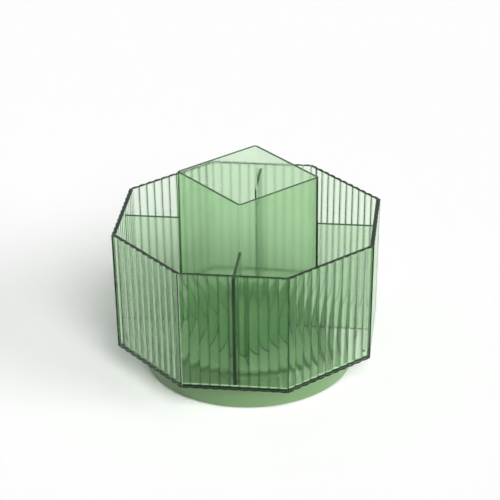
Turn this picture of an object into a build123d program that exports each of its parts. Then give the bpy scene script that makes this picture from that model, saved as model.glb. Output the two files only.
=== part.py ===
from build123d import *

import math
import os

# A rotating holder for makeup brushes. Eight ribbed walls make an octagonal tub. A square tube and four
# dividers part it into five compartments, and the tub turns on a ball bearing over a round base.
# Millimetres, +Z up, front wall facing -Y, origin on the table under the middle of the base.

# Ribbed walls
flat_width = 150.0  # between two opposite walls at the rim, from rib valley to rib valley
wall_height = 74.0
wall_lean = 1.2  # how far the foot of a wall stands inside its rim
wall_sheet = 1.7  # thickness of a wall under its ribs
rib_depth = 0.9
ribs_per_wall = 11

# Floor, tube and dividers
floor_thickness = 2.4
tube_width = 59.3  # across two opposite outer faces
tube_sheet = 1.6
tube_rise = 27.3  # top of the tube above the rim
divider_thickness = 1.6
divider_drop = 2.4  # top of a divider below the rim
bond_line = 0.1  # glue between two sheets

# Turntable plate and ball bearing
plate_thickness = 2.7
plate_clearance = 1.0  # between the edge of the plate and the lip of the base
ball_diameter = 5.0
ball_count = 12
track_inset = 12.0  # from the edge of the plate to the middle of the ball track
track_depth = 1.1  # how deep a ball sits in the plate and in the deck
track_clearance = 0.1
cage_width = 9.0
cage_clearance = 0.5  # above and below the cage
pocket_clearance = 0.15

# Pivot
spigot_radius = 6.0
spigot_clearance = 0.05
bush_wall = 2.0
bush_flange_width = 3.0
bush_flange_thickness = 1.0
bush_seat_clearance = 0.02
washer_thickness = 1.0
washer_overlap = 1.5  # how far the washer reaches under the base beyond the bush
washer_bore_clearance = 0.2
pivot_play = 0.2  # between the washer and the base
screw_radius = 2.0
screw_length = 9.0
screw_clearance = 0.05
screw_tip_length = 1.5
screw_tip_room = 0.5
screw_head_radius = 4.2
screw_head_height = 2.4
screw_head_round = 1.0
screw_slot_width = 1.1
screw_slot_length = 5.0
screw_slot_depth = 1.2
screw_head_room = 0.6  # between the head of the pivot screw and the cover

# Base
base_radius = 62.0
base_band = 2.0  # upright edge at the foot of the flank
flank_flare = 3.5  # how far the foot of the flank stands outside the lip
flank_bulge_depth = 0.7
flank_wall = 2.4
lip_width = 4.5
lip_gap = 1.2  # between the lip and the underside of the tub
lip_round = 1.4
deck_thickness = 2.8
boss_length = 3.0
boss_wall = 3.0

# Cover under the base, and its screws
cover_thickness = 3.0
cover_clearance = 0.15
cover_screw_radius = 1.3
cover_screw_length = 8.0
cover_screw_head_radius = 2.6
cover_screw_head_height = 1.5
cover_screw_clearance = 0.05
cover_screw_tip_room = 0.5
post_wall = 2.2

# Non-slip pads, each over a screw of the cover
pad_count = 6
pad_radius = 5.0
pad_proud = 1.0  # how far a pad stands below the cover
pad_recess = 0.5
pad_clearance = 0.1
pad_inset = 12.0  # from the edge of the base to the middle of a pad
pad_edge = 0.3

overrun = 5.0  # how far a cutting solid reaches past what it cuts

# The walls in turn, leftwards from the back, and those that a divider or a side of the tube faces
wall_names = ("back", "back_left", "left", "front_left", "front", "front_right", "right", "back_right")
divider_walls = ("back", "left", "front", "right")
tube_walls = ("back_left", "front_left", "front_right", "back_right")

# Heights, from the table up
base_bottom = pad_proud
cover_screw_face = base_bottom + pad_recess
cover_top = base_bottom + cover_thickness
screw_head_bottom = cover_top + screw_head_room
washer_bottom = screw_head_bottom + screw_head_height
spigot_bottom = washer_bottom + washer_thickness
boss_bottom = spigot_bottom + pivot_play
deck_bottom = boss_bottom + boss_length
deck_top = deck_bottom + deck_thickness
bearing_gap = ball_diameter - 2 * track_depth
ball_height = deck_top + bearing_gap / 2
plate_bottom = deck_top + bearing_gap
plate_top = plate_bottom + plate_thickness
tub_bottom = plate_top + bond_line
lip_top = tub_bottom - lip_gap
floor_top = tub_bottom + floor_thickness
sheet_foot = floor_top + bond_line
rim_top = tub_bottom + wall_height
divider_top = rim_top - divider_drop
tube_top = rim_top + tube_rise

# Radii and widths that follow from the sizes above
corner_angle = math.radians(180 / len(wall_names))
tube_mitre = math.radians(180 / len(tube_walls))
lean_angle = math.atan2(wall_lean, wall_height)
rib_pitch = flat_width * math.tan(corner_angle) / ribs_per_wall
inner_rim = flat_width / 2 - wall_sheet / math.cos(lean_angle)
inner_foot = inner_rim - wall_lean
tube_corner = tube_width / 2 / math.sin(tube_mitre)
ball_radius = ball_diameter / 2
lip_radius = base_radius - flank_flare
recess_radius = lip_radius - lip_width
plate_radius = recess_radius - plate_clearance
track_radius = plate_radius - track_inset
bush_bore = spigot_radius + spigot_clearance
bush_radius = bush_bore + bush_wall
boss_bore = bush_radius + bush_seat_clearance
boss_radius = boss_bore + boss_wall
cover_seat_radius = base_radius - flank_wall
pad_circle = base_radius - pad_inset
pad_thickness = pad_proud + pad_recess


def inner_face(height):
    """Distance of a wall's inner face from the axis, at a height above the table."""
    return inner_foot + (height - tub_bottom) * math.tan(lean_angle)


def turned(shape, wall):
    """A shape made at the back, turned to stand at another wall."""
    return Rot(0, 0, wall_names.index(wall) * 360 / len(wall_names)) * shape


def revolved(*points):
    """A solid of revolution about the axis, from its outline in radius and height."""
    return revolve(Plane.XZ * make_face(Polyline(*points, close=True)), axis=Axis.Z)


def mitre_wedge():
    """The eighth of the tub that one wall may fill, half a glue line clear of its neighbours."""
    apex = bond_line / 2 / math.sin(corner_angle)
    half_width = (flat_width - apex) * math.tan(corner_angle)
    outline = Polyline((0, apex), (half_width, flat_width), (-half_width, flat_width), close=True)
    return extrude(Plane.XY.offset(tub_bottom) * make_face(outline), wall_height, dir=(0, 0, 1))


def ribbed_wall():
    """The back wall: flat inside, round ribs outside, leaning out to the rim, with mitred sides."""
    up_the_wall = (0, math.sin(lean_angle), math.cos(lean_angle))
    section_plane = Plane(origin=(0, inner_foot, tub_bottom), x_dir=(1, 0, 0), z_dir=up_the_wall)
    half_width = rib_pitch * ribs_per_wall / 2
    section = Polyline(
        (half_width, wall_sheet), (half_width, 0), (-half_width, 0), (-half_width, wall_sheet)
    )
    for rib in range(ribs_per_wall):
        start = rib * rib_pitch - half_width
        crest = (start + rib_pitch / 2, wall_sheet + rib_depth)
        section += ThreePointArc((start, wall_sheet), crest, (start + rib_pitch, wall_sheet))
    length = wall_height / math.cos(lean_angle) + 2 * overrun
    sheet = extrude(section_plane.offset(-overrun) * make_face(section), length, dir=up_the_wall)
    return sheet & mitre_wedge()


def floor_plate():
    """The octagonal floor, inside the feet of the walls."""
    outline = RegularPolygon(
        inner_foot - bond_line, len(wall_names), major_radius=False, rotation=math.degrees(corner_angle)
    )
    return extrude(Plane.XY.offset(tub_bottom) * outline, floor_thickness, dir=(0, 0, 1))


def tube_wall():
    """One side of the square tube, mitred to the next sides, made facing +Y."""
    outer = tube_width / 2
    inner = outer - tube_sheet
    mitre_gap = bond_line / 2 / math.sin(tube_mitre)
    outline = Polyline(
        (mitre_gap - outer, outer),
        (outer - mitre_gap, outer),
        (inner - mitre_gap, inner),
        (mitre_gap - inner, inner),
        close=True,
    )
    return extrude(Plane.XY.offset(sheet_foot) * make_face(outline), tube_top - sheet_foot, dir=(0, 0, 1))


def divider():
    """The back divider, notched over a corner of the tube and slanted to fit the leaning wall."""
    start = tube_corner - divider_thickness
    outline = Polyline(
        (start, sheet_foot),
        (inner_face(sheet_foot) - bond_line, sheet_foot),
        (inner_face(divider_top) - bond_line, divider_top),
        (start, divider_top),
        close=True,
    )
    sheet = extrude(Plane.YZ * make_face(outline), divider_thickness / 2, both=True)
    notch_width = tube_width + 2 * bond_line
    notch = Rot(0, 0, math.degrees(tube_mitre)) * Box(notch_width, notch_width, tube_top + overrun)
    return sheet - Pos(0, 0, tube_top / 2) * notch


def ball_track():
    """The ring of space that the balls run in, half in the deck and half in the turntable plate."""
    return Pos(0, 0, ball_height) * Torus(track_radius, ball_radius + track_clearance)


def turntable_plate():
    """The round plate under the floor, with the upper ball track and the spigot that the tub turns on."""
    plate = revolved(
        (0, plate_top),
        (plate_radius, plate_top),
        (plate_radius, plate_bottom),
        (spigot_radius, plate_bottom),
        (spigot_radius, spigot_bottom),
        (0, spigot_bottom),
    )
    pilot_depth = screw_length - washer_thickness + screw_tip_room
    pilot = Pos(0, 0, spigot_bottom + pilot_depth / 2) * Cylinder(screw_radius + screw_clearance, pilot_depth)
    return plate - ball_track() - pilot


def pivot_screw():
    """The pan-head screw that holds the tub on the base, driven up into the spigot."""
    shank_end = washer_bottom + screw_length
    screw = revolved(
        (0, shank_end),
        (screw_radius, shank_end - screw_tip_length),
        (screw_radius, washer_bottom),
        (screw_head_radius, washer_bottom),
        (screw_head_radius, screw_head_bottom),
        (0, screw_head_bottom),
    )
    lower_edge = screw.edges().filter_by(GeomType.CIRCLE).sort_by(Axis.Z)[0]
    screw = fillet(lower_edge, screw_head_round)
    slot = Pos(0, 0, screw_head_bottom) * Box(screw_slot_length, screw_slot_width, 2 * screw_slot_depth)
    return screw - slot - Rot(0, 0, 90) * slot


def pivot_washer():
    """The washer under the spigot, which reaches below the bush and the boss."""
    ring = Cylinder(bush_radius + washer_overlap, washer_thickness)
    bore = Cylinder(screw_radius + washer_bore_clearance, washer_thickness + overrun)
    return Pos(0, 0, washer_bottom + washer_thickness / 2) * (ring - bore)


def pivot_bush():
    """The flanged bush in the boss of the base, which the spigot turns in."""
    flange_radius = bush_radius + bush_flange_width
    flange_top = deck_top + bush_flange_thickness
    return revolved(
        (bush_bore, boss_bottom),
        (bush_radius, boss_bottom),
        (bush_radius, deck_top),
        (flange_radius, deck_top),
        (flange_radius, flange_top),
        (bush_bore, flange_top),
    )


def ball_cage():
    """The flat ring that keeps the balls apart."""
    thickness = bearing_gap - 2 * cage_clearance
    disc = Cylinder(track_radius + cage_width / 2, thickness)
    cage = disc - Cylinder(track_radius - cage_width / 2, thickness + overrun)
    pocket = Cylinder(ball_radius + pocket_clearance, thickness + overrun)
    for place in PolarLocations(track_radius, ball_count):
        cage -= place * pocket
    return Pos(0, 0, ball_height) * cage


def bearing_balls():
    """The steel balls, each in its pocket of the cage."""
    ball = Pos(0, 0, ball_height) * Sphere(ball_radius)
    return Compound(children=[place * ball for place in PolarLocations(track_radius, ball_count)])


def pad_places():
    """Where the pads and the screws above them lie, round the axis."""
    return PolarLocations(pad_circle, pad_count, 180 / pad_count)


def cover_screw(clearance, room):
    """A countersunk screw of the cover on its own axis, or, with clearance and room, its hole."""
    head_radius = cover_screw_head_radius + clearance
    shank_radius = cover_screw_radius + clearance
    shank_end = cover_screw_face + cover_screw_length + room
    return revolved(
        (0, cover_screw_face),
        (head_radius, cover_screw_face),
        (shank_radius, cover_screw_face + cover_screw_head_height),
        (shank_radius, shank_end),
        (0, shank_end),
    )


def base_screws():
    """The screws that hold the cover to the posts of the base."""
    screw = cover_screw(0, 0)
    return Compound(children=[place * screw for place in pad_places()])


def base_cover():
    """The disc that closes the base from below, with a recess and a countersunk hole over each pad."""
    disc = Cylinder(cover_seat_radius - cover_clearance, cover_thickness)
    cover = Pos(0, 0, base_bottom + cover_thickness / 2) * disc
    recess = Pos(0, 0, base_bottom) * Cylinder(pad_radius + pad_clearance, 2 * pad_recess)
    hole = cover_screw(cover_screw_clearance, cover_screw_tip_room)
    for place in pad_places():
        cover -= place * recess
        cover -= place * hole
    return cover


def base_shell():
    """The round base: a curved flank, a lip round a sunken deck, a boss and posts for the screws."""
    band_top = base_bottom + base_band
    flank_top = lip_top - lip_round
    flank_middle = ((base_radius + lip_radius) / 2 + flank_bulge_depth, (band_top + flank_top) / 2)
    flank = ThreePointArc((base_radius, band_top), flank_middle, (lip_radius, flank_top))
    round_reach = lip_round * math.sin(math.radians(45))
    round_middle = (lip_radius - lip_round + round_reach, flank_top + round_reach)
    shoulder = ThreePointArc((lip_radius, flank_top), round_middle, (lip_radius - lip_round, lip_top))
    top_and_inside = Polyline(
        (lip_radius - lip_round, lip_top),
        (recess_radius, lip_top),
        (recess_radius, deck_top),
        (boss_bore, deck_top),
        (boss_bore, boss_bottom),
        (boss_radius, boss_bottom),
        (boss_radius, deck_bottom),
        (lip_radius - flank_wall, deck_bottom),
        (cover_seat_radius, cover_top),
        (cover_seat_radius, base_bottom),
        (base_radius, base_bottom),
        (base_radius, band_top),
    )
    shell = revolve(Plane.XZ * make_face(flank + shoulder + top_and_inside), axis=Axis.Z)
    post_length = deck_bottom - cover_top
    post_radius = cover_screw_radius + cover_screw_clearance + post_wall
    post = Pos(0, 0, cover_top + post_length / 2) * Cylinder(post_radius, post_length)
    hole = cover_screw(cover_screw_clearance, cover_screw_tip_room)
    for place in pad_places():
        shell += place * post
        shell -= place * hole
    return shell - ball_track()


def foot_pads():
    """The soft pads that the base stands on, each sunk a little into the cover."""
    pad = Pos(0, 0, pad_thickness / 2) * Cylinder(pad_radius, pad_thickness)
    pad = chamfer(pad.edges().filter_by(GeomType.CIRCLE).sort_by(Axis.Z)[0], pad_edge)
    return Compound(children=[place * pad for place in pad_places()])


def sub_parts():
    """Every piece of the holder, by name."""
    wall = ribbed_wall()
    sheet = divider()
    side = tube_wall()
    pieces = {f"wall_{name}": turned(wall, name) for name in wall_names}
    pieces |= {f"divider_{name}": turned(sheet, name) for name in divider_walls}
    pieces |= {f"tube_{name}": turned(side, name) for name in tube_walls}
    pieces |= {
        "floor_plate": floor_plate(),
        "turntable_plate": turntable_plate(),
        "pivot_screw": pivot_screw(),
        "pivot_washer": pivot_washer(),
        "pivot_bush": pivot_bush(),
        "ball_cage": ball_cage(),
        "bearing_balls": bearing_balls(),
        "base_shell": base_shell(),
        "base_cover": base_cover(),
        "base_screws": base_screws(),
        "foot_pads": foot_pads(),
    }
    return pieces


os.makedirs("parts", exist_ok=True)
for node, shape in sub_parts().items():
    export_step(shape, f"parts/{node}.step")
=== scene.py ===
import math

import bmesh
import bpy
from mathutils import Matrix, Vector


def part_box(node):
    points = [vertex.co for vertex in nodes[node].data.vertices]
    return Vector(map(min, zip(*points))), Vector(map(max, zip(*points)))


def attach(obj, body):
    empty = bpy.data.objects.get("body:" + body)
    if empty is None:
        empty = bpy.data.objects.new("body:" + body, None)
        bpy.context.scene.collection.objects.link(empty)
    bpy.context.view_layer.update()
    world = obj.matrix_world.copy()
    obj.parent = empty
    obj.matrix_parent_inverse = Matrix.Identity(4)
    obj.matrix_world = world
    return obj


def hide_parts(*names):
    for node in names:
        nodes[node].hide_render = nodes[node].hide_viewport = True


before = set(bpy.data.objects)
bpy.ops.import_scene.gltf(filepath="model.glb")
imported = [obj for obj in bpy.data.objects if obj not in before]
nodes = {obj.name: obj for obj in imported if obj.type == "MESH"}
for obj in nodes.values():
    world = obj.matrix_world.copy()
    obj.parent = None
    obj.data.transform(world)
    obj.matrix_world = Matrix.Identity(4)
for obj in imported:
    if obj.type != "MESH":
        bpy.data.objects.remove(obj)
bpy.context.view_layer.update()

# Camera, as fitted to the corners of the octagon, the tube and the base in the photograph
IMAGE_SIDE = 500
CAMERA_AZIMUTH = math.radians(6.76)
CAMERA_ELEVATION = math.radians(27.26)
CAMERA_ROLL = math.radians(-0.57)
CAMERA_DISTANCE = 1.1668
CAMERA_TARGET = Vector((0, 0, 0.0715))
CAMERA_REACH = 100.0
FOCAL_PIXELS = 1973
CENTRE_PIXEL = (248.45, 250.0)
SENSOR_WIDTH = 36.0

# Light: a soft key lamp from the front right, a low one from the right, and an even room around them,
# each with its share of the light on the table
KEY_AZIMUTH = math.radians(22)
KEY_ELEVATION = math.radians(40)
KEY_ANGLE = math.radians(35)
KEY_SHARE = 0.55
SIDE_AZIMUTH = math.radians(75)
SIDE_ELEVATION = math.radians(14)
SIDE_ANGLE = math.radians(40)
SIDE_SHARE = 0.2
FLOOR_SIDE = 12.0
TABLE_WHITE = (0.97, 0.97, 0.97)
TABLE_ROUGHNESS = 0.9
SHEET_BOUNCES = 48
GLOSSY_BOUNCES = 24

# The tub's sheets, with the steps that round their edges and ribs
WALL_NAMES = ("back", "back_left", "left", "front_left", "front", "front_right", "right", "back_right")
DIVIDER_NAMES = ("back", "left", "front", "right")
TUBE_NAMES = ("back_left", "front_left", "front_right", "back_right")
RIBS = 11
RIB_DEPTH = 0.0009
RIB_STEPS = 12
WALL_SHEET = 0.0017
WALL_LEAN = 0.0012
BOND_LINE = 0.0001
TUBE_SHEET = 0.0016
TUBE_ROUND = 0.0021
ARC_STEPS = 10
EDGE_ROUND = 0.00015
EDGE_STEPS = 3
SAWN_DEPTH = 0.0008
WELD_SHEET = 0.0003
WELD_DEPTH = 0.0009
WELD_STEPS = 6
SUPPORT = 0.0001
MITRE_PASSES = 5
SHARP_ANGLE = math.radians(40)
LEVEL = math.cos(SHARP_ANGLE)

# Which of a piece's materials its faces have, after the first
CEMENTED_AND_SHADED = 1
EDGED = 2
MITRED = 3

# Green sheet: its refraction, tint and haze are chosen by the likeness to the photograph
RIBBED_IOR = 1.26
PLAIN_IOR = 1.25
SHEET_GREEN = (0.11, 0.66, 0.0)
SHEET_TINTS = ((0.97, 0.98, 0.97), (1.0, 1.0, 1.0))
RIBBED_DENSITY = 60.0
TUBE_DENSITY = 180.0
DIVIDER_DENSITY = 165.0
FLOOR_DENSITY = 60.0
RIBBED_HAZE = 0.08
TUBE_HAZE = 0.1
DIVIDER_HAZE = 0.14
FLOOR_HAZE = 0.2
HAZE_SPREAD = 0.03
FACE_SHINE = 0.6
RIM_SHINE = 0.8
SHEET_CLOUD = 60.0
HAZE_CLOUD = 300.0
SHEET_RELIEF = (0.1, 0.0002)

# Painted shade in the grooves between ribs: its green, and how much of it there is at each step from the
# valley
GROOVE = "groove"
GROOVE_SHADE_GREEN = (0.03, 0.13, 0.04)
GROOVE_SHADES = (0.8, 0.4, 0.1)

# Moulded plastic and cement: the dark edges are painted shade, the cement's near black is partly painted
# shade, and the sawn edge's pale green is partly a painted highlight
PLASTIC_IOR = 1.49
PLASTIC_SHINE = 0.5
PLASTIC_CLOUD = 45.0
GLOSS_CLOUD = 220.0
GLOSS_SPREAD = 0.06
GRAIN = 2500.0
COARSE_GRAIN = 1200.0
GRAIN_DETAIL = 1.0
GRAIN_RELIEF = (0.15, 0.00005)
COAT_ROUGHNESS = 0.18
BASE_CLEARNESS = 0.25
BOND_CLEARNESS = 0.9
FAINT_CLEARNESS = 0.05
EDGE_SHADE_DARKS = ((0.020, 0.050, 0.024), (0.030, 0.070, 0.036))
CEMENT_SHADE_DARKS = ((0.010, 0.022, 0.012), (0.016, 0.032, 0.018))
BOND_GREENS = ((0.30, 0.50, 0.30), (0.32, 0.52, 0.32))
SAWN_HIGHLIGHT_GREENS = ((0.42, 0.58, 0.40), (0.50, 0.66, 0.48))
BASE_GREENS = ((0.12, 0.25, 0.085), (0.15, 0.285, 0.11))
PLATE_GREENS = ((0.60, 0.77, 0.56), (0.66, 0.82, 0.62))
ACETAL_WHITES = ((0.80, 0.80, 0.75), (0.87, 0.87, 0.83))
SILICONE_GREYS = ((0.52, 0.55, 0.51), (0.62, 0.65, 0.61))

# Steel
ZINC_GREYS = ((0.62, 0.64, 0.66), (0.74, 0.73, 0.70))
BALL_GREYS = ((0.70, 0.71, 0.72), (0.78, 0.78, 0.79))
STEEL_CLOUD = 400.0
RING_DISTORTION = 0.6
RING_DETAIL = 2.0
RING_SPREAD = 0.12
RING_RELIEF = (0.1, 0.00005)

# Most of a noise lies between these values
NOISE_LOW = 0.3
NOISE_HIGH = 0.7
NOISE_DETAIL = 3.0

# A mix node's sockets for colour, which share their names with its sockets for other kinds of value
MIX_FACTOR = 0
MIX_FIRST = 6
MIX_SECOND = 7
MIX_RESULT = 2

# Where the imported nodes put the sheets
WALL_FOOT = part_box("wall_back")[0].z
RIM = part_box("wall_back")[1].z
INNER_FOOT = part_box("wall_back")[0].y
FLOOR_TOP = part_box("floor_plate")[1].z
SHEET_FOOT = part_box("divider_back")[0].z
DIVIDER_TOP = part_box("divider_back")[1].z
DIVIDER_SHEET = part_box("divider_back")[1].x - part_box("divider_back")[0].x
TUBE_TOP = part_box("tube_back_left")[1].z
TUBE_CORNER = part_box("tube_back_left")[1].y + BOND_LINE

WALL_TURN = 2 * math.pi / len(WALL_NAMES)
TUBE_TURN = 2 * math.pi / len(TUBE_NAMES)
MITRE_SLOPE = math.tan(WALL_TURN / 2)
MITRE_APEX = BOND_LINE / 2 / math.sin(WALL_TURN / 2)
LEAN_SLOPE = WALL_LEAN / (RIM - WALL_FOOT)
RIB_PITCH = 2 * (INNER_FOOT + WALL_LEAN + WALL_SHEET) * MITRE_SLOPE / RIBS
RIB_RADIUS = (RIB_PITCH ** 2 / 4 + RIB_DEPTH ** 2) / (2 * RIB_DEPTH)

# Round a sheet's edge, from just short of it: the way in from the face, and the way in from the edge
ROUND_STEPS = [(0.0, EDGE_ROUND + SUPPORT)]
for edge_step in range(EDGE_STEPS + 1):
    edge_angle = math.pi / 2 * edge_step / EDGE_STEPS
    ROUND_STEPS.append((EDGE_ROUND * (1 - math.cos(edge_angle)), EDGE_ROUND * (1 - math.sin(edge_angle))))


def new_material(name):
    """A material, its node tree and its shader."""
    material = bpy.data.materials.new(name)
    material.use_nodes = True
    tree = material.node_tree
    return material, tree, tree.nodes["Principled BSDF"]


def add_node(tree, kind, **inputs):
    """A node of a kind, with some of its inputs set."""
    node = tree.nodes.new(kind)
    for key, value in inputs.items():
        node.inputs[key].default_value = value
    return node


def noise(tree, scale, detail=NOISE_DETAIL):
    """Even noise over a piece, in its own coordinates, so that it turns with the piece."""
    place_node = add_node(tree, "ShaderNodeTexCoord")
    texture = add_node(tree, "ShaderNodeTexNoise", Scale=scale, Detail=detail)
    tree.links.new(place_node.outputs["Object"], texture.inputs["Vector"])
    return texture.outputs["Fac"]


def spread(tree, value, low, high, start=NOISE_LOW, end=NOISE_HIGH):
    """A value from start to end, spread from low to high."""
    scaled = add_node(tree, "ShaderNodeMapRange")
    for key, number in (("From Min", start), ("From Max", end), ("To Min", low), ("To Max", high)):
        scaled.inputs[key].default_value = number
    tree.links.new(value, scaled.inputs["Value"])
    return scaled.outputs["Result"]


def blend(tree, value, colours):
    """A colour between two, by a value."""
    ramp = add_node(tree, "ShaderNodeValToRGB")
    for stop, position, colour in zip(ramp.color_ramp.elements, (NOISE_LOW, NOISE_HIGH), colours):
        stop.position = position
        stop.color = (*colour, 1)
    tree.links.new(value, ramp.inputs["Fac"])
    return ramp.outputs["Color"]


def relief(tree, shader, value, strength, distance):
    """Fine relief on a surface."""
    bump = add_node(tree, "ShaderNodeBump", Strength=strength, Distance=distance)
    tree.links.new(value, bump.inputs["Height"])
    tree.links.new(bump.outputs["Normal"], shader.inputs["Normal"])


def green_sheet(name, density, ior, haze, shine=FACE_SHINE):
    """Clear green sheet: polished, faintly uneven, green all through, and with painted shade in its
    grooves.
    """
    material, tree, shader = new_material(name)
    shader.inputs["Transmission Weight"].default_value = 1.0
    shader.inputs["IOR"].default_value = ior
    shader.inputs["Specular Tint"].default_value = (shine, shine, shine, 1)
    cloud = noise(tree, SHEET_CLOUD)
    # The groove attribute mixes painted shade into the sheet's colour
    groove = add_node(tree, "ShaderNodeAttribute")
    groove.attribute_name = GROOVE
    shaded = add_node(tree, "ShaderNodeMix")
    shaded.data_type = "RGBA"
    shaded.inputs[MIX_SECOND].default_value = (*GROOVE_SHADE_GREEN, 1)
    tree.links.new(groove.outputs["Fac"], shaded.inputs[MIX_FACTOR])
    tree.links.new(blend(tree, cloud, SHEET_TINTS), shaded.inputs[MIX_FIRST])
    tree.links.new(shaded.outputs[MIX_RESULT], shader.inputs["Base Color"])
    gloss = spread(tree, noise(tree, HAZE_CLOUD), haze, haze + HAZE_SPREAD)
    tree.links.new(gloss, shader.inputs["Roughness"])
    relief(tree, shader, cloud, *SHEET_RELIEF)
    inside = add_node(tree, "ShaderNodeVolumeAbsorption")
    inside.inputs["Color"].default_value = (*SHEET_GREEN, 1)
    inside.inputs["Density"].default_value = density
    tree.links.new(inside.outputs["Volume"], tree.nodes["Material Output"].inputs["Volume"])
    return material


def plastic(name, colours, roughness, clearness=0.0, grain=GRAIN, shine=PLASTIC_SHINE, coat=0.0):
    """Moulded plastic: clouded colour, fine grain, uneven gloss, and a smoother skin where it is coated."""
    material, tree, shader = new_material(name)
    shader.inputs["Coat Weight"].default_value = coat
    shader.inputs["Coat Roughness"].default_value = COAT_ROUGHNESS
    shader.inputs["Specular IOR Level"].default_value = shine
    shader.inputs["Transmission Weight"].default_value = clearness
    shader.inputs["IOR"].default_value = PLASTIC_IOR
    tree.links.new(blend(tree, noise(tree, PLASTIC_CLOUD), colours), shader.inputs["Base Color"])
    gloss = spread(tree, noise(tree, GLOSS_CLOUD), roughness - GLOSS_SPREAD, roughness + GLOSS_SPREAD)
    tree.links.new(gloss, shader.inputs["Roughness"])
    relief(tree, shader, noise(tree, grain, GRAIN_DETAIL), *GRAIN_RELIEF)
    return material


def steel(name, colours, roughness, ring_scale):
    """Steel with turned rings about the axis."""
    material, tree, shader = new_material(name)
    shader.inputs["Metallic"].default_value = 1.0
    tree.links.new(blend(tree, noise(tree, STEEL_CLOUD), colours), shader.inputs["Base Color"])
    place_node = add_node(tree, "ShaderNodeTexCoord")
    rings = add_node(
        tree, "ShaderNodeTexWave", Scale=ring_scale, Distortion=RING_DISTORTION, Detail=RING_DETAIL
    )
    rings.wave_type = "RINGS"
    rings.rings_direction = "Z"
    tree.links.new(place_node.outputs["Object"], rings.inputs["Vector"])
    gloss = spread(tree, rings.outputs["Fac"], roughness, roughness + RING_SPREAD, start=0.0, end=1.0)
    tree.links.new(gloss, shader.inputs["Roughness"])
    relief(tree, shader, rings.outputs["Fac"], *RING_RELIEF)
    return material


def plain_material(name, colour, roughness):
    """One even colour, for the table."""
    material, _, shader = new_material(name)
    shader.inputs["Base Color"].default_value = (*colour, 1)
    shader.inputs["Roughness"].default_value = roughness
    return material


def give(names, material):
    """Gives CAD nodes a material."""
    for name in names:
        mesh = nodes[name].data
        mesh.materials.clear()
        mesh.materials.append(material)


ribbed_sheet = green_sheet("ribbed_green_sheet", RIBBED_DENSITY, RIBBED_IOR, RIBBED_HAZE)
ribbed_rim = green_sheet("ribbed_green_rim", RIBBED_DENSITY, RIBBED_IOR, RIBBED_HAZE, shine=RIM_SHINE)
tube_sheet = green_sheet("tube_green_sheet", TUBE_DENSITY, PLAIN_IOR, TUBE_HAZE)
divider_sheet = green_sheet("divider_green_sheet", DIVIDER_DENSITY, PLAIN_IOR, DIVIDER_HAZE)
floor_sheet = green_sheet("floor_green_sheet", FLOOR_DENSITY, PLAIN_IOR, FLOOR_HAZE)
# Painted shade along the top edges of the tube and the dividers
shaded_edge = plastic("painted_shade_green_edge", EDGE_SHADE_DARKS, roughness=0.4, shine=0.2)
# Joint cement, near black partly as painted shade along the joints
cement_and_shade = plastic("joint_cement_and_painted_shade", CEMENT_SHADE_DARKS, roughness=0.5, shine=0.1)
bond = plastic("bond_line", BOND_GREENS, roughness=0.3, clearness=BOND_CLEARNESS, shine=0.1)
# A frosted sawn edge, its pale green partly a painted highlight
sawn_highlight_edge = plastic("sawn_green_edge_painted_highlight", SAWN_HIGHLIGHT_GREENS, roughness=0.6)
base_green = plastic("base_green", BASE_GREENS, roughness=0.34, clearness=BASE_CLEARNESS, coat=0.8)
plate_green = plastic("plate_green", PLATE_GREENS, roughness=0.4, clearness=BASE_CLEARNESS)
zinc = steel("zinc_steel", ZINC_GREYS, roughness=0.26, ring_scale=350.0)
ball_steel = steel("ball_steel", BALL_GREYS, roughness=0.08, ring_scale=90.0)
acetal = plastic("acetal", ACETAL_WHITES, roughness=0.45, clearness=FAINT_CLEARNESS)
silicone = plastic("silicone", SILICONE_GREYS, roughness=0.7, clearness=FAINT_CLEARNESS, grain=COARSE_GRAIN)


def loft(rings, loop):
    """A closed skin over rings of points: a loop of rings, or a row of them with capped ends."""
    skin = bmesh.new()
    rows = [[skin.verts.new(point) for point in ring] for ring in rings]
    pairs = list(zip(rows, rows[1:]))
    if loop:
        pairs.append((rows[-1], rows[0]))
    for row, following in pairs:
        for corner in range(len(row)):
            after = (corner + 1) % len(row)
            skin.faces.new((row[corner], row[after], following[after], following[corner]))
    if not loop:
        skin.faces.new(rows[0])
        skin.faces.new(rows[-1])
    bmesh.ops.recalc_face_normals(skin, faces=skin.faces)
    return skin


def place(skin, name, materials, slot, *replaced):
    """Turns a skin into a piece of the holder, which may stand for some CAD nodes."""
    mesh = bpy.data.meshes.new(name)
    skin.to_mesh(mesh)
    skin.free()
    for material in materials:
        mesh.materials.append(material)
    mesh.shade_smooth()
    mesh.set_sharp_from_angle(angle=SHARP_ANGLE)
    piece = bpy.data.objects.new(name, mesh)
    bpy.context.scene.collection.objects.link(piece)
    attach(piece, "holder")
    if replaced:
        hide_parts(*replaced)


def rounded_section(low, high):
    """Round a sheet's upright section: which face a point is on, how far in from it, and its height."""
    points = []
    for face, rising in (("outer", True), ("inner", False)):
        foot = [(face, inset, low + rise) for inset, rise in ROUND_STEPS]
        head = [(face, inset, high - drop) for inset, drop in ROUND_STEPS]
        points += foot[::-1] + head if rising else head[::-1] + foot
    return points


def mark_ends(faces):
    """Cement under a sheet's foot, darkened with painted shade, and the edge material along its top."""
    for face in faces:
        if face.normal.z > LEVEL:
            face.material_index = EDGED
        if face.normal.z < -LEVEL:
            face.material_index = CEMENTED_AND_SHADED


def inner_face(height):
    """Distance of a wall's inner face from the axis."""
    return INNER_FOOT + (height - WALL_FOOT) * LEAN_SLOPE


def rib_height(along):
    """How far a rib stands out of its valleys, at a place along its pitch."""
    return math.sqrt(RIB_RADIUS ** 2 - (along - RIB_PITCH / 2) ** 2) - (RIB_RADIUS - RIB_DEPTH)


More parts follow.
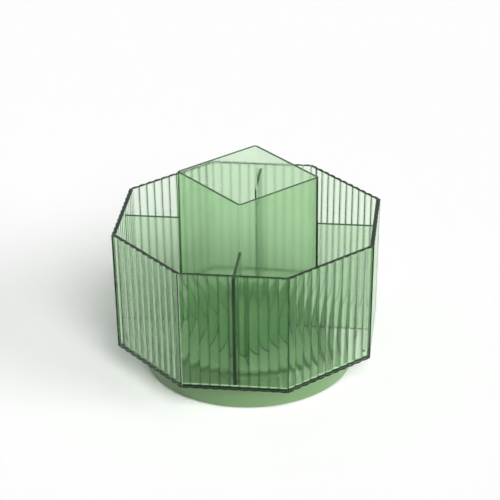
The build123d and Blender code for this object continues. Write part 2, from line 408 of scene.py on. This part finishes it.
def wall_point(step, face, inset, height):
    """A point of the back wall. The last rib on each side is cut short at the mitre."""
    side = -1 if step < RIBS * RIB_STEPS / 2 else 1
    along = abs(step / RIB_STEPS - RIBS / 2) * RIB_PITCH
    inner = inner_face(height)
    last = (RIBS / 2 - 1) * RIB_PITCH
    rise = 0
    if face == "outer":
        rise = WALL_SHEET + rib_height((along - last) % RIB_PITCH)
    if along > last:
        share = (along - last) / RIB_PITCH
        end = RIB_PITCH
        end_rise = 0
        for _ in range(MITRE_PASSES):
            if face == "outer":
                end_rise = WALL_SHEET + rib_height(end)
            end = (inner + end_rise - MITRE_APEX) * MITRE_SLOPE - last
        along = last + share * end
        if face == "outer":
            rise = WALL_SHEET + rib_height(share * end)
    depth = inner + rise - inset if face == "outer" else inner + inset
    return Vector((side * along, depth, height))


def shade_grooves(skin, section):
    """Marks a wall's outer points near the valleys between its ribs with their share of painted shade."""
    skin.verts.ensure_lookup_table()
    groove = skin.verts.layers.float.new(GROOVE)
    for step in range(RIBS * RIB_STEPS + 1):
        away = min(step % RIB_STEPS, -step % RIB_STEPS)
        for spot, (face, _, _) in enumerate(section):
            if face == "outer" and away < len(GROOVE_SHADES):
                skin.verts[step * len(section) + spot][groove] = GROOVE_SHADES[away]


def ribbed_wall(name):
    """A wall: flat inside, round ribs outside, a polished rim, cement under its foot, darkened with painted
    shade, and mitred ends.
    """
    turn = Matrix.Rotation(WALL_NAMES.index(name) * WALL_TURN, 3, "Z")
    section = rounded_section(WALL_FOOT, RIM)
    rings = [[turn @ wall_point(step, *spot) for spot in section] for step in range(RIBS * RIB_STEPS + 1)]
    skin = loft(rings, loop=False)
    skin.faces.ensure_lookup_table()
    mark_ends(skin.faces[:-2])
    for end in skin.faces[-2:]:
        end.material_index = MITRED
    shade_grooves(skin, section)
    materials = (ribbed_sheet, cement_and_shade, ribbed_rim, bond)
    place(skin, f"ribbed_wall_{name}", materials, "ribbed_sheet", f"wall_{name}")


def corner_weld(name):
    """The cement that stands in the groove at a wall's corner, dark with painted shade: a thin blade with a
    round outer edge.
    """
    turn = Matrix.Rotation((WALL_NAMES.index(name) + 0.5) * WALL_TURN, 3, "Z")
    half = WELD_SHEET / 2
    rings = []
    for height in (WALL_FOOT, RIM - EDGE_ROUND, RIM):
        inset = EDGE_ROUND if height == RIM else 0
        valley = (inner_face(height) + WALL_SHEET) / math.cos(WALL_TURN / 2)
        start = valley + BOND_LINE
        end = valley + WELD_DEPTH - half - inset
        outline = [(half, start), (-half, start)]
        for step in range(WELD_STEPS + 1):
            angle = math.pi * (1 - step / WELD_STEPS)
            outline.append((half * math.cos(angle), end + half * math.sin(angle)))
        rings.append([turn @ Vector((across, out, height)) for across, out in outline])
    place(loft(rings, loop=False), f"corner_weld_{name}", (cement_and_shade,), "ribbed_sheet")


def square_tube():
    """The tube, welded into one piece, with rounded corners, a top edge dark with painted shade, and cement
    under its foot darkened with painted shade.
    """
    half_width = TUBE_CORNER * math.sin(TUBE_TURN / 2)
    inner_round = max(TUBE_ROUND - TUBE_SHEET, EDGE_ROUND)
    outer_centre = (half_width - TUBE_ROUND) / math.sin(TUBE_TURN / 2)
    inner_centre = (half_width - TUBE_SHEET - inner_round) / math.sin(TUBE_TURN / 2)
    section = rounded_section(SHEET_FOOT, TUBE_TOP)
    arc = [(step / ARC_STEPS - 0.5, 0) for step in range(ARC_STEPS + 1)]
    arc = [(-0.5, -SUPPORT), *arc, (0.5, SUPPORT)]
    rings = []
    for corner in range(len(TUBE_NAMES)):
        corner_way = Matrix.Rotation(corner * TUBE_TURN, 3, "Z") @ Vector((0, 1, 0))
        for share, beyond in arc:
            way = Matrix.Rotation(share * TUBE_TURN, 3, "Z") @ corner_way
            shift = Vector((0, 0, beyond)).cross(way)
            ring = []
            for face, inset, height in section:
                if face == "outer":
                    spot = corner_way * outer_centre + way * (TUBE_ROUND - inset)
                else:
                    spot = corner_way * inner_centre + way * (inner_round + inset)
                ring.append(spot + shift + Vector((0, 0, height)))
            rings.append(ring)
    skin = loft(rings, loop=True)
    mark_ends(skin.faces)
    replaced = [f"tube_{name}" for name in TUBE_NAMES]
    place(skin, "square_tube", (tube_sheet, cement_and_shade, shaded_edge), "plain_sheet", *replaced)


def divider(name):
    """A divider: rounded along its top, which is dark with painted shade, hollowed over the tube's corner,
    with cement on the other edges, darkened with painted shade.
    """
    turn = Matrix.Rotation(WALL_NAMES.index(name) * WALL_TURN, 3, "Z")
    centre = TUBE_CORNER - TUBE_ROUND / math.sin(TUBE_TURN / 2)
    reach = TUBE_ROUND + BOND_LINE
    half = DIVIDER_SHEET / 2
    rounded = [(-half + inset, DIVIDER_TOP - drop) for inset, drop in ROUND_STEPS]
    levels = rounded + [(0, DIVIDER_TOP)] + [(-across, top) for across, top in rounded[::-1]]
    rings = []
    for across, top in levels:
        start = centre + math.sqrt(reach ** 2 - across ** 2)
        outline = (
            (start, SHEET_FOOT),
            (inner_face(SHEET_FOOT) - BOND_LINE, SHEET_FOOT),
            (inner_face(top) - BOND_LINE, top),
            (start, top),
        )
        rings.append([turn @ Vector((across, out, height)) for out, height in outline])
    skin = loft(rings, loop=False)
    skin.faces.ensure_lookup_table()
    # Round the outline: the foot, the end at the wall, the top and the end at the tube
    sides = (CEMENTED_AND_SHADED, CEMENTED_AND_SHADED, EDGED, CEMENTED_AND_SHADED)
    for strip in range(len(levels) - 1):
        for side, material in enumerate(sides):
            skin.faces[strip * len(sides) + side].material_index = material
    materials = (divider_sheet, cement_and_shade, shaded_edge)
    place(skin, f"divider_sheet_{name}", materials, "plain_sheet", f"divider_{name}")


def tub_floor():
    """The octagonal floor: a frosted sawn edge at its top, pale partly as a painted highlight, with cement
    below, darkened with painted shade.
    """
    levels = [(EDGE_ROUND + SUPPORT, WALL_FOOT)]
    levels += [(inset, WALL_FOOT + rise) for inset, rise in ROUND_STEPS[::-1]]
    levels += [(0.0, FLOOR_TOP - SAWN_DEPTH)]
    levels += [(inset, FLOOR_TOP - drop) for inset, drop in ROUND_STEPS]
    levels += [(EDGE_ROUND + SUPPORT, FLOOR_TOP)]
    angles = [(turn + 0.5) * WALL_TURN for turn in range(len(WALL_NAMES))]
    rings = []
    for inset, height in levels:
        corner = (INNER_FOOT - BOND_LINE - inset) / math.cos(WALL_TURN / 2)
        rings.append([Vector((corner * math.cos(a), corner * math.sin(a), height)) for a in angles])
    skin = loft(rings, loop=False)
    for face in skin.faces:
        if abs(face.normal.z) < LEVEL:
            highlit_band = face.calc_center_median().z > FLOOR_TOP - SAWN_DEPTH
            face.material_index = EDGED if highlit_band else CEMENTED_AND_SHADED
    place(skin, "tub_floor", (floor_sheet, cement_and_shade, sawn_highlight_edge), "plain_sheet", "floor_plate")


for wall_name in WALL_NAMES:
    ribbed_wall(wall_name)
    corner_weld(wall_name)
for divider_name in DIVIDER_NAMES:
    divider(divider_name)
square_tube()
tub_floor()

give(["base_shell", "base_cover"], base_green)
give(["turntable_plate"], plate_green)
give(["pivot_screw", "pivot_washer", "base_screws"], zinc)
give(["bearing_balls"], ball_steel)
give(["pivot_bush", "ball_cage"], acetal)
give(["foot_pads"], silicone)


def facing(azimuth, elevation):
    """The way from the object to something at an azimuth, right of the front, and an elevation."""
    level = math.cos(elevation)
    return Vector((math.sin(azimuth) * level, -math.cos(azimuth) * level, math.sin(elevation)))


def place_camera():
    """The camera, at the photograph's view."""
    back = facing(CAMERA_AZIMUTH, CAMERA_ELEVATION)
    right = Vector((math.cos(CAMERA_AZIMUTH), math.sin(CAMERA_AZIMUTH), 0))
    up = back.cross(right)
    rolled_right = right * math.cos(CAMERA_ROLL) + up * math.sin(CAMERA_ROLL)
    rolled_up = up * math.cos(CAMERA_ROLL) - right * math.sin(CAMERA_ROLL)
    turn = Matrix((rolled_right, rolled_up, back)).transposed().to_4x4()
    data = bpy.data.cameras.new("camera")
    data.sensor_width = SENSOR_WIDTH
    data.lens = SENSOR_WIDTH * FOCAL_PIXELS / IMAGE_SIDE
    data.shift_x = (IMAGE_SIDE / 2 - CENTRE_PIXEL[0]) / IMAGE_SIDE
    data.shift_y = (CENTRE_PIXEL[1] - IMAGE_SIDE / 2) / IMAGE_SIDE
    data.clip_end = CAMERA_REACH
    camera = bpy.data.objects.new("camera", data)
    camera.matrix_world = Matrix.Translation(CAMERA_TARGET + back * CAMERA_DISTANCE) @ turn
    bpy.context.scene.collection.objects.link(camera)
    bpy.context.scene.camera = camera


def light_room():
    """A white room, and the two lamps."""
    world = bpy.data.worlds.new("studio")
    bpy.context.scene.world = world
    world.use_nodes = True
    tree = world.node_tree
    background = tree.nodes["Background"]
    background.inputs["Color"].default_value = (1, 1, 1, 1)
    rays = add_node(tree, "ShaderNodeLightPath")
    seen = rays.outputs["Is Camera Ray"]
    for kind in ("Is Glossy Ray", "Is Transmission Ray"):
        either = add_node(tree, "ShaderNodeMath")
        either.operation = "MAXIMUM"
        tree.links.new(seen, either.inputs[0])
        tree.links.new(rays.outputs[kind], either.inputs[1])
        seen = either.outputs["Value"]
    room_share = 1 - KEY_SHARE - SIDE_SHARE
    strength = spread(tree, seen, room_share, 1.0, start=0.0, end=1.0)
    tree.links.new(strength, background.inputs["Strength"])
    lamps = (
        ("key", KEY_SHARE, KEY_AZIMUTH, KEY_ELEVATION, KEY_ANGLE),
        ("side", SIDE_SHARE, SIDE_AZIMUTH, SIDE_ELEVATION, SIDE_ANGLE),
    )
    for name, share, azimuth, elevation, angle in lamps:
        light = bpy.data.lights.new(name, "SUN")
        light.angle = angle
        light.energy = share * math.pi / math.sin(elevation)
        lamp = bpy.data.objects.new(name, light)
        lamp.matrix_world = facing(azimuth, elevation).to_track_quat("Z", "Y").to_matrix().to_4x4()
        bpy.context.scene.collection.objects.link(lamp)


def lay_floor():
    """The pale table top."""
    mesh = bpy.data.meshes.new("floor")
    side = FLOOR_SIDE
    corners = [(-side, -side, 0), (side, -side, 0), (side, side, 0), (-side, side, 0)]
    mesh.from_pydata(corners, [], [(0, 1, 2, 3)])
    floor = bpy.data.objects.new("floor", mesh)
    bpy.context.scene.collection.objects.link(floor)
    mesh.materials.append(plain_material("table_white", TABLE_WHITE, TABLE_ROUGHNESS))


place_camera()
light_room()
lay_floor()
scene = bpy.context.scene
scene.view_settings.view_transform = "Standard"
scene.cycles.max_bounces = SHEET_BOUNCES
scene.cycles.transmission_bounces = SHEET_BOUNCES
scene.cycles.glossy_bounces = GLOSSY_BOUNCES
